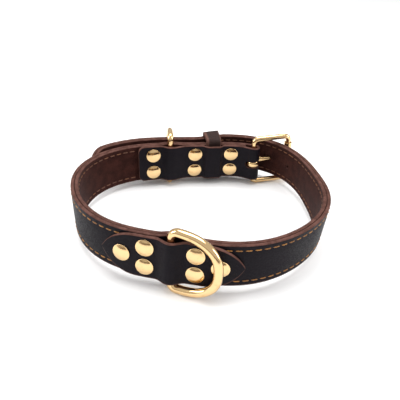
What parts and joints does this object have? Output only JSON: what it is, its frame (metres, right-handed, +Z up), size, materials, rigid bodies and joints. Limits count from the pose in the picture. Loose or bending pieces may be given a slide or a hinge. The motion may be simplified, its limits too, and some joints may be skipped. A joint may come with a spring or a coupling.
{
  "type": "dog collar",
  "caption": "Fastened two-ply leather dog collar with a swinging lead ring under a riveted patch, a tag ring, a keeper and a roller buckle.",
  "frame": {"origin": "middle of the overall box, on the floor that the collar stands on", "axes": "+Z up, +X towards the right end of the loop as seen from the lead ring's side, -Y towards the lead ring"},
  "size_m": [0.152, 0.1488, 0.0383],
  "materials": {
    "black_leather": "smooth black grain, soft sheen, brown cut edges",
    "brown_leather": "matt dark brown flesh side",
    "keeper_leather": "smooth dark brown grain",
    "brass": "polished pale brass"
  },
  "bodies": {
    "collar": {"outer_ply": "black_leather", "front_patch": "black_leather", "inner_ply": "brown_leather", "keeper": "keeper_leather", "tag_ring": "brass", "buckle_frame": "brass", "buckle_tongue": "brass", "rivet_back_1": "brass", "rivet_back_2": "brass", "rivet_back_3": "brass", "rivet_back_4": "brass", "rivet_back_5": "brass", "rivet_back_6": "brass", "rivet_front_1": "brass", "rivet_front_2": "brass", "rivet_front_3": "brass", "rivet_front_4": "brass", "rivet_front_5": "brass", "rivet_front_6": "brass"},
    "lead_ring": {"d_ring": "brass"},
    "roller": {"buckle_roller": "brass"}
  },
  "joints": [
    {"name": "lead_ring_swing", "type": "hinge", "parent": "collar", "child": "lead_ring", "pos_m": [-0.01284, -0.06166, 0.01891], "axis": [0.0094, 0.0696, 0.9975], "range_deg": [-153, 0]},
    {"name": "roller_turn", "type": "hinge", "parent": "collar", "child": "roller", "pos_m": [0.05951, 0.05876, 0.01998], "axis": [-0.036, -0.0858, 0.9957], "continuous": true}
  ]
}
